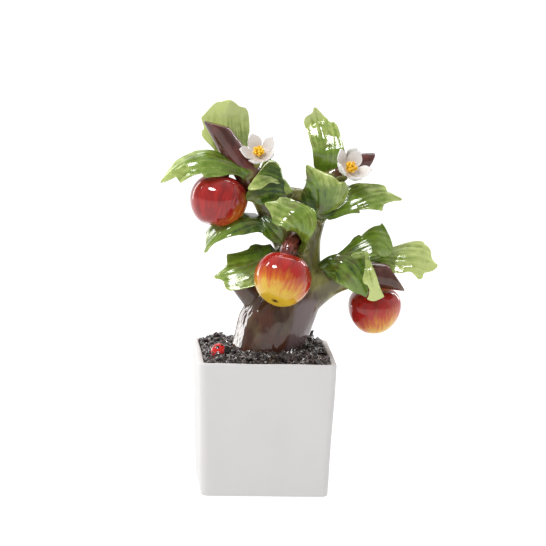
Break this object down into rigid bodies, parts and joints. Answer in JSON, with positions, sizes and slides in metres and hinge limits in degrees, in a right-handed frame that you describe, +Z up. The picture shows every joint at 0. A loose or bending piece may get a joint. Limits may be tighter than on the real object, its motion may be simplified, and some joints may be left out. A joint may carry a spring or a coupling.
{
  "type": "ceramic bonsai apple tree",
  "caption": "Glazed ceramic model of a bonsai apple tree with cut boughs, thick toothed leaves, apples, white blossom and a ladybird, in a square tapered white pot of dark soil.",
  "frame": {"origin": "centre of the flat underside of the pot", "axes": "+Z up the tree, -Y the way the pot's front faces, +X to the right as the front is looked at"},
  "size_m": [0.175, 0.1026, 0.2394],
  "materials": {
    "pot": "white glossy glaze",
    "soil": "dark brown glossy granules",
    "bark": "dark red-brown glaze that runs into green where the leaves grow",
    "leaf": null,
    "fruit": "glossy red glaze streaked into yellow",
    "blossom": "white satin petals round yellow stamens",
    "ladybird": "glossy red with black spots"
  },
  "bodies": {
    "root": {"pot": "pot", "soil": "soil", "trunk": "bark", "bough_low_left": "bark", "bough_upper_left": "bark", "bough_upper_right": "bark", "bough_right": "bark", "twig_crotch": "bark", "apple_front": "fruit", "apple_left": "fruit", "apple_right": "fruit", "apple_back": "fruit", "blossom_left": "blossom", "blossom_right": "blossom", "blossom_back": "blossom", "leaves_top_left": "leaf", "leaves_upper_left": "leaf", "leaves_middle": "leaf", "leaves_strip": "leaf", "leaves_top_right": "leaf", "leaves_upper_right": "leaf", "leaves_right": "leaf", "leaves_far_right": "leaf", "leaves_low_left": "leaf", "leaves_under_left": "leaf", "leaves_front": "leaf", "leaves_back_upper_left": "leaf", "leaves_back_left": "leaf", "leaves_back_crown": "leaf", "leaves_back_middle": "leaf", "leaves_back_stem": "leaf", "leaves_back_right": "leaf", "leaves_back_low": "leaf", "ladybird": "ladybird"}
  },
  "joints": []
}
